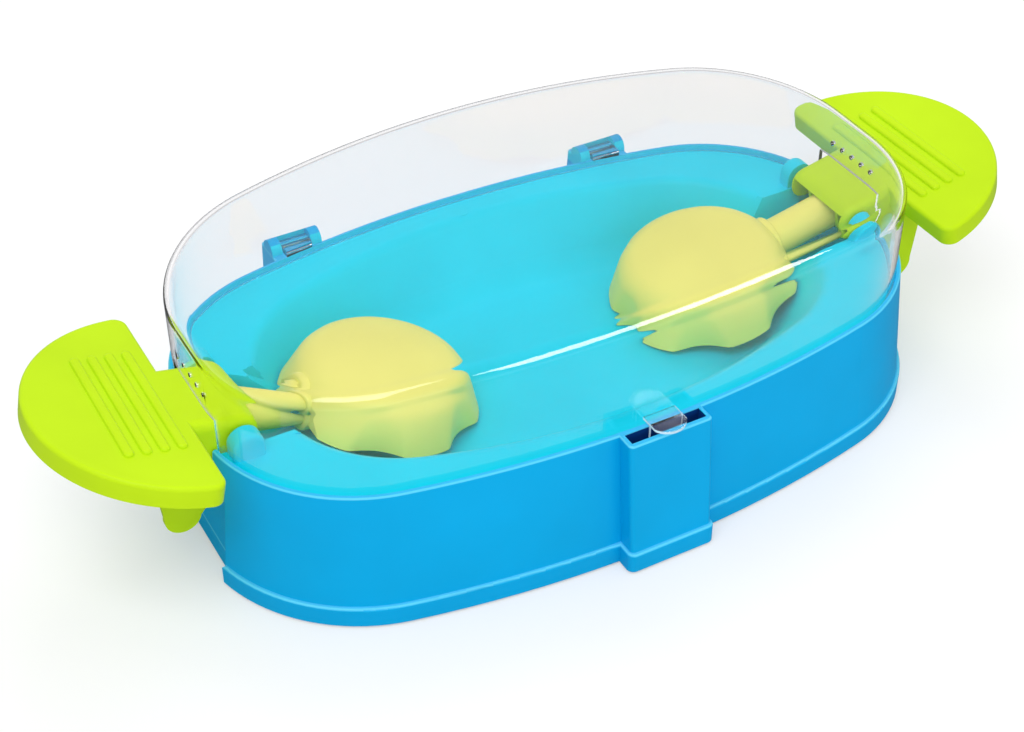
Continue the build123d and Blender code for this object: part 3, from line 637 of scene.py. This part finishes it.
def plan_outline(cover):
    """Points round the cover's wall in plan, each with the direction that faces outwards."""
    corner_x = cover.half_length - cover.corner_radius
    rise = math.sqrt((cover.side_radius - cover.corner_radius) ** 2 - corner_x ** 2)
    corner_y = rise - (cover.side_radius - cover.half_width)
    turn = math.atan2(rise, corner_x)
    cut = math.asin((cover.cutout_half - corner_y) / cover.corner_radius)
    corner = (corner_x, corner_y), cover.corner_radius
    arcs = [(*corner, cut * step / CUT_STEPS) for step in range(CUT_STEPS)]
    for step in range(CORNER_STEPS):
        arcs.append((*corner, cut + (turn - cut) * step / CORNER_STEPS))
    for step in range(SIDE_STEPS + 1):
        angle = turn + (math.pi / 2 - turn) * step / SIDE_STEPS
        arcs.append(((0.0, cover.half_width - cover.side_radius), cover.side_radius, angle))
    quarter = [(Vector((cover.half_length, 0, 0)), Vector((1, 0, 0)))]
    for (x, y), radius, angle in arcs:
        facing = Vector((math.cos(angle), math.sin(angle), 0))
        quarter.append((Vector((x, y, 0)) + radius * facing, facing))
    half = quarter + [tuple(Vector((-v.x, v.y, 0)) for v in pair) for pair in quarter[-2::-1]]
    return half + [tuple(Vector((v.x, -v.y, 0)) for v in pair) for pair in half[-2:0:-1]]


def cover_rings(cover):
    """Loops of points from the cover's lower edge up its wall, round its edge and over its crown."""
    points = plan_outline(cover)
    up = Vector((0, 0, 1))
    axis = cover.top - cover.crown_radius
    rings = [[spot + up * height for spot, facing in points] for height in (cover.bottom, cover.cutout_top)]
    centres, crowns = [], []
    for spot, facing in points:
        centre = spot - cover.edge_round * facing
        centre.z = axis + math.sqrt((cover.crown_radius - cover.edge_round) ** 2 - centre.x ** 2)
        centres.append(centre)
        crowns.append(Vector((centre.x, 0, centre.z - axis)).normalized())
    for share in WALL_SHARES:
        heights = [cover.cutout_top + share * (centre.z - cover.cutout_top) for centre in centres]
        rings.append([spot + up * height for (spot, facing), height in zip(points, heights)])
    for step in range(ROUND_STEPS + 1):
        share = step / ROUND_STEPS
        rings.append([centre + cover.edge_round * facing.slerp(crown, share)
                      for (spot, facing), centre, crown in zip(points, centres, crowns)])
    edge = rings[-1]
    for share in CROWN_SHARES:
        ring = [Vector((v.x * share, v.y * share, 0)) for v in edge]
        rings.append([v + up * (axis + math.sqrt(cover.crown_radius ** 2 - v.x ** 2)) for v in ring])
    return rings


def cover_shell(cover):
    """Domed wall of even thickness, open where the levers pass."""
    shell = ring_wall("cover_moulding", cover_rings(cover))
    bpy.ops.mesh.extrude_edges_move()
    bpy.ops.mesh.merge(type="CENTER")
    face_outwards()
    bpy.ops.mesh.select_all(action="DESELECT")
    sheet = bmesh.from_edit_mesh(shell.data)
    for face in sheet.faces:
        centre = face.calc_center_median()
        face.select = abs(centre.y) < cover.cutout_half and centre.z < cover.cutout_top and (
            abs(centre.x) > cover.half_length - cover.corner_radius)
    bmesh.update_edit_mesh(shell.data)
    bpy.ops.mesh.delete(type="FACE")
    bpy.ops.object.mode_set(mode="OBJECT")
    solid = shell.modifiers.new("wall", "SOLIDIFY")
    solid.thickness, solid.offset = cover.wall, -1.0
    solid.use_even_offset = True
    bpy.ops.object.modifier_apply(modifier=solid.name)
    return shell


def thumb_lip(cover):
    """Flat plate from the cover's wall to the round thumb lip at the latch."""
    half, reach = cover.tongue_half, cover.lip_reach
    radius = (half ** 2 + reach ** 2) / (2 * reach)
    middle = -cover.flange_reach - reach + radius
    span = math.asin(half / radius)
    root = cover.wall / 2 - cover.half_width
    points = [(half, root, cover.flange_bottom), (-half, root, cover.flange_bottom)]
    for step in range(-LIP_STEPS, LIP_STEPS + 1):
        angle = span * step / LIP_STEPS
        points.append((radius * math.sin(angle), middle - radius * math.cos(angle), cover.flange_bottom))
    plate = polygon("thumb_lip", points)
    bpy.ops.mesh.edge_face_add()
    bpy.ops.mesh.extrude_region_move(TRANSFORM_OT_translate={"value": (0, 0, cover.tongue_wall)})
    face_outwards()
    bpy.ops.object.mode_set(mode="OBJECT")
    return plate


def latch_tongue(cover):
    """Upright plate that hangs from the thumb lip into the base's slot."""
    front = -cover.tongue_y - cover.tongue_wall / 2
    low = (-cover.tongue_half, front, cover.tongue_bottom)
    high = (cover.tongue_half, front + cover.tongue_wall, cover.flange_bottom + cover.tongue_wall / 2)
    return slab("tongue", low, high)


def hinge_lug(cover, side):
    """Block with a round, bored end that hangs the cover on a hinge pin."""
    start, end = side * cover.lug_x - cover.lug_half, side * cover.lug_x + cover.lug_half
    root = LUG_ROOT_SHARE * cover.half_width
    block = slab("lug", (start, root, cover.lug_bottom), (end, cover.pin_y, cover.pin_z + cover.lug_radius))
    combine(block, rod("lug_end", cover.lug_radius, start, end, cover.pin_y, cover.pin_z), "UNION")
    bore = rod("bore", cover.pin_bore, start - cover.wall, end + cover.wall, cover.pin_y, cover.pin_z)
    combine(block, bore, "DIFFERENCE")
    return block


def scent_hole(cover, side, row):
    """Cutter for one of the small holes in an end of the cover."""
    ends = side * (cover.half_length - cover.corner_radius), side * (cover.half_length + cover.wall)
    y = (row - (SCENT_HOLES - 1) / 2) * cover.hole_pitch
    return rod("hole", cover.hole_radius, *sorted(ends), y, cover.hole_height, HOLE_SIDES)


def latch_edges(cover, shell):
    """The narrow faces round the thumb lip and at the sides of the latch, which take the painted highlight.
    """
    front = -cover.half_width - cover.wall / 4
    for face in shell.data.polygons:
        on_rim = face.center.z > cover.flange_bottom and abs(face.normal.z) < RIM_RISE
        if face.center.y < front and (on_rim or abs(face.normal.x) > SIDE_TURN):
            yield face


class TOY_OT_base(bpy.types.Operator):
    """Blue base shell, bottom plate and hinge pins"""

    bl_idname = "toy.base"
    bl_label = "Base"

    def execute(self, context):
        colours = context.scene.toy_colours
        nodes = ("base_shell", "bottom_plate", "hinge_pin_left", "hinge_pin_right")
        dress(nodes, moulded_plastic("base_moulding", colours.base_blue, inside=colours.tray_cyan))
        return {"FINISHED"}


class TOY_OT_tray(bpy.types.Operator):
    """Cyan treat tray and its bearing blocks"""

    bl_idname = "toy.tray"
    bl_label = "Treat tray"

    def execute(self, context):
        nodes = [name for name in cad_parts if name.endswith("_bearing")] + ["treat_tray"]
        dress(nodes, moulded_plastic("tray_moulding", context.scene.toy_colours.tray_cyan))
        return {"FINISHED"}


class TOY_OT_levers(bpy.types.Operator):
    """Lime paddles, yellow arms and paws"""

    bl_idname = "toy.levers"
    bl_label = "Levers"

    def execute(self, context):
        colours, paw = context.scene.toy_colours, context.scene.toy_paw
        lime = moulded_plastic("paddle_moulding", colours.paddle_lime)
        yellow = moulded_plastic("paw_moulding", colours.paw_yellow)
        for side in SIDES:
            dress([side + "_paddle"], lime)
            dress([side + "_paw_arm", side + "_paw_sole"], yellow)
        right = paw_body(paw)
        right.data.materials.clear()
        right.data.materials.append(yellow)
        bpy.ops.object.duplicate()
        for side, piece, turn in (("right", right, 0.0), ("left", context.object, math.pi)):
            pick(piece)
            piece.location = (paw.pivot_x * math.cos(turn), 0, paw.pivot_height)
            piece.rotation_euler = (0, -paw.rest_tilt, turn)
            settle(side + "_paw_moulding")
            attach(piece, side + "_lever")
            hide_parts(side + "_paw")
        return {"FINISHED"}


class TOY_OT_cover(bpy.types.Operator):
    """Clear hinged cover with its hinge lugs, scent holes and latch tongue"""

    bl_idname = "toy.cover"
    bl_label = "Clear cover"

    def execute(self, context):
        colours, cover = context.scene.toy_colours, context.scene.toy_cover
        shell = cover_shell(cover)
        combine(shell, thumb_lip(cover), "UNION")
        combine(shell, latch_tongue(cover), "UNION")
        for side in (-1, 1):
            combine(shell, hinge_lug(cover, side), "UNION")
            for row in range(SCENT_HOLES):
                combine(shell, scent_hole(cover, side, row), "DIFFERENCE")
        bpy.ops.object.shade_smooth_by_angle(angle=SMOOTH_ANGLE)
        clear = clear_plastic("cover_clear", colours.cover_tint)
        # Painted highlight: the narrow faces round the thumb lip get opaque pale plastic in place of clear
        pale = moulded_plastic("cover_cut_edge", colours.lip_edge_highlight, roughness=0.5, specular=0.3)
        shell.data.materials.clear()
        for material in (clear, pale):
            shell.data.materials.append(material)
        for face in latch_edges(cover, shell):
            face.material_index = 1
        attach(shell, "cover")
        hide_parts("clear_cover")
        return {"FINISHED"}


class TOY_OT_fasteners(bpy.types.Operator):
    """Steel pins and screws, rubber feet"""

    bl_idname = "toy.fasteners"
    bl_label = "Pins, screws and feet"

    def execute(self, context):
        colours = context.scene.toy_colours
        nodes = [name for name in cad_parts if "pivot_pin" in name or "screw" in name]
        dress(nodes, plated_steel("plated_steel", colours.pin_steel))
        rubber = moulded_plastic("foot_rubber", colours.foot_grey, roughness=0.7, specular=0.3, spread=0.15,
                                 grain=0.0006)
        dress(["rubber_feet"], rubber)
        return {"FINISHED"}


def area_light(name, power):
    """Soft rectangular light that faces a point."""
    spot, aim, size = LAMPS[name]
    bpy.ops.object.light_add(type="AREA", location=spot)
    lamp = bpy.context.object
    lamp.name = name
    lamp.data.shape = "RECTANGLE"
    lamp.data.size, lamp.data.size_y = size
    lamp.data.energy = power
    lamp.rotation_euler = (Vector(aim) - Vector(spot)).to_track_quat("-Z", "Y").to_euler()
    return lamp


def soft_lights(stage):
    """Key light, two fill lights that don't show in gloss, and one that only the cover's gloss shows."""
    area_light("key_softbox", stage.key_power)
    fill = area_light("back_softbox", stage.key_power * BACK_SHARE)
    front = area_light("front_softbox", stage.front_power)
    for lamp in (fill, front):
        lamp.visible_glossy = lamp.visible_transmission = False
    streak = area_light("edge_softbox", stage.streak_power)
    streak.visible_diffuse = streak.visible_transmission = False
    lit = bpy.data.collections.new("edge_softbox_lights")
    lit.objects.link(bpy.data.objects["cover_moulding"])
    streak.light_linking.receiver_collection = lit


class TOY_OT_stage(bpy.types.Operator):
    """Pale floor, soft lights, white surroundings and the camera"""

    bl_idname = "toy.stage"
    bl_label = "Stage"

    def execute(self, context):
        scene, stage = context.scene, context.scene.toy_stage
        bpy.ops.object.select_all(action="DESELECT")
        bpy.ops.mesh.primitive_plane_add(size=FLOOR_SIZE, location=(0, 0, 0))
        floor = context.object
        floor.name = "floor"
        floor.data.materials.append(pale_floor(stage))
        scene.world = white_surroundings(scene.world or bpy.data.worlds.new("studio"), stage)
        soft_lights(stage)

        bpy.ops.object.camera_add(location=stage.eye)
        camera = context.object
        camera.name = "camera"
        camera.data.sensor_width = SENSOR_WIDTH
        camera.data.lens = stage.lens
        look = Vector(stage.target) - Vector(stage.eye)
        camera.rotation_euler = look.to_track_quat("-Z", "Y").to_euler()
        scene.camera = camera
        scene.view_settings.view_transform = "Standard"
        return {"FINISHED"}


class TOY_PT_panel(bpy.types.Panel):
    """Buttons and values of the toy"""

    bl_idname = "TOY_PT_panel"
    bl_label = "Puzzle Toy"
    bl_space_type = "VIEW_3D"
    bl_region_type = "UI"
    bl_category = "Puzzle Toy"

    def draw(self, context):
        for operator in OPERATORS:
            self.layout.operator(operator.bl_idname)
        scene = context.scene
        for group in (scene.toy_colours, scene.toy_cover, scene.toy_paw, scene.toy_stage):
            box = self.layout.box()
            for name in group.__annotations__:
                box.prop(group, name)


OPERATORS = (TOY_OT_base, TOY_OT_tray, TOY_OT_levers, TOY_OT_cover, TOY_OT_fasteners, TOY_OT_stage)
CLASSES = (ToyColours, ToyCover, ToyPaw, ToyStage, *OPERATORS, TOY_PT_panel)


def register():
    for cls in CLASSES:
        bpy.utils.register_class(cls)
    bpy.types.Scene.toy_colours = bpy.props.PointerProperty(type=ToyColours)
    bpy.types.Scene.toy_cover = bpy.props.PointerProperty(type=ToyCover)
    bpy.types.Scene.toy_paw = bpy.props.PointerProperty(type=ToyPaw)
    bpy.types.Scene.toy_stage = bpy.props.PointerProperty(type=ToyStage)


def unregister():
    del bpy.types.Scene.toy_stage
    del bpy.types.Scene.toy_paw
    del bpy.types.Scene.toy_cover
    del bpy.types.Scene.toy_colours
    for cls in reversed(CLASSES):
        bpy.utils.unregister_class(cls)


def main():
    register()
    for name in ("base", "tray", "levers", "cover", "fasteners", "stage"):
        getattr(bpy.ops.toy, name)()


if __name__ == "__main__":
    main()
